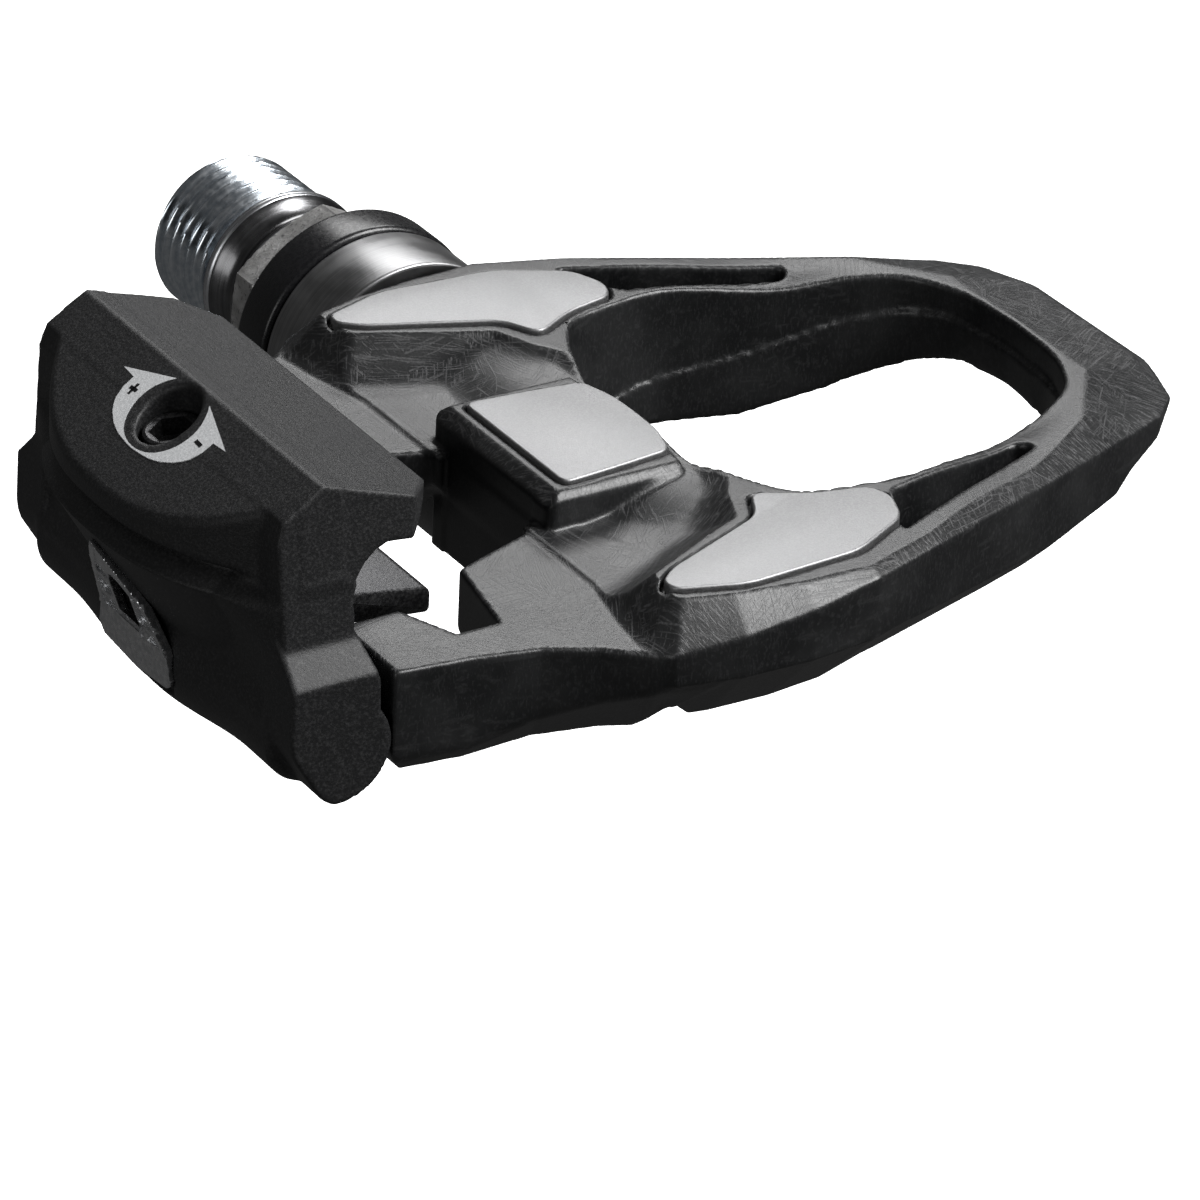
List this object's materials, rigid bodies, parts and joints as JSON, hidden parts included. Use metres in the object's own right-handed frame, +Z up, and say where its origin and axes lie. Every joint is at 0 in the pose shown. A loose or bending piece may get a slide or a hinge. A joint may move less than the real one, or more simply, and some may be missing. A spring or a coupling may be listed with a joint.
{
  "type": "clipless pedal",
  "caption": "Right-hand road clipless pedal: moulded composite platform with steel contact plates, sprung rear claw and threaded spindle.",
  "frame": {"origin": "on the spindle axis, in the plane of the shoulder that seats against the crank arm", "axes": "+X towards the toe of the platform, +Y along the spindle out of its threaded end, towards the crank arm, +Z up from the spindle to the cleat platform"},
  "size_m": [0.0914, 0.0925, 0.0317],
  "materials": {
    "composite": "black short-fibre carbon composite, satin",
    "contact_steel": "light satin stainless steel with fine grain",
    "resin": "matt black moulded resin",
    "bright_steel": "machined steel, bright zinc on the thread",
    "dark_steel": "dark forged or blackened steel",
    "black_resin": "gloss black housing",
    "seal_rubber": "black rubber",
    "spring_steel": "drawn spring wire",
    "chrome": "polished bright plating",
    "marker": "pale moulded marker"
  },
  "bodies": {
    "spindle": {"spindle": "bright_steel", "bearing_cone": "bright_steel", "keyed_washer": "bright_steel", "cone_lock_nut": "bright_steel"},
    "pedal_body": {"pedal_body": "composite", "centre_plate": "contact_steel", "inboard_wing_plate": "contact_steel", "outboard_wing_plate": "contact_steel", "lock_nut": "dark_steel", "seal_housing": "black_resin", "dust_seal": "seal_rubber", "bearing_sleeve": "bright_steel", "outer_race": "bright_steel", "hinge_pin": "bright_steel", "outboard_spring": "spring_steel", "inboard_spring": "spring_steel"},
    "needle_rollers": {"needle_roller_ring": "bright_steel"},
    "inboard_balls": {"inboard_ball_ring": "bright_steel"},
    "outboard_balls": {"outboard_ball_ring": "bright_steel"},
    "claw": {"claw": "resin", "cleat_guide": "dark_steel", "indicator_frame": "chrome"},
    "tension_screw": {"tension_screw": "dark_steel"},
    "tension_nut": {"tension_nut": "bright_steel", "indicator_marker": "marker"}
  },
  "joints": [
    {"name": "body_spin", "type": "hinge", "parent": "spindle", "child": "pedal_body", "pos_m": [0, -0.052, 0], "axis": [0, 1, 0], "continuous": true},
    {"name": "needle_roll", "type": "hinge", "parent": "spindle", "child": "needle_rollers", "pos_m": [0, -0.0285, 0], "axis": [0, 1, 0], "continuous": true},
    {"name": "inboard_ball_roll", "type": "hinge", "parent": "spindle", "child": "inboard_balls", "pos_m": [0, -0.0505, 0], "axis": [0, 1, 0], "continuous": true},
    {"name": "outboard_ball_roll", "type": "hinge", "parent": "spindle", "child": "outboard_balls", "pos_m": [0, -0.0573, 0], "axis": [0, 1, 0], "continuous": true},
    {"name": "claw_pivot", "type": "hinge", "parent": "pedal_body", "child": "claw", "pos_m": [-0.0368, -0.052, 0.0017], "axis": [0, -1, 0], "range_deg": [0, 16], "stiffness_Nm_per_rad": 2, "springref_deg": -17.19, "deforming": ["outboard_spring", "inboard_spring"]},
    {"name": "tension_screw_turn", "type": "hinge", "parent": "claw", "child": "tension_screw", "pos_m": [-0.0393, -0.052, 0.01975], "axis": [0.2079, 0, -0.9781], "range_deg": [0, 1080]},
    {"name": "tension_nut_slide", "type": "slide", "parent": "claw", "child": "tension_nut", "axis": [0.2079, 0, -0.9781], "range_m": [0, 0.0024]}
  ],
  "couplings": [
    {"joint": "needle_roll", "follows": "body_spin", "ratio": 0.576},
    {"joint": "inboard_ball_roll", "follows": "body_spin", "ratio": 0.641},
    {"joint": "outboard_ball_roll", "follows": "body_spin", "ratio": 0.641},
    {"joint": "tension_screw_turn", "follows": "tension_nut_slide", "rad_per_m": 7854}
  ]
}
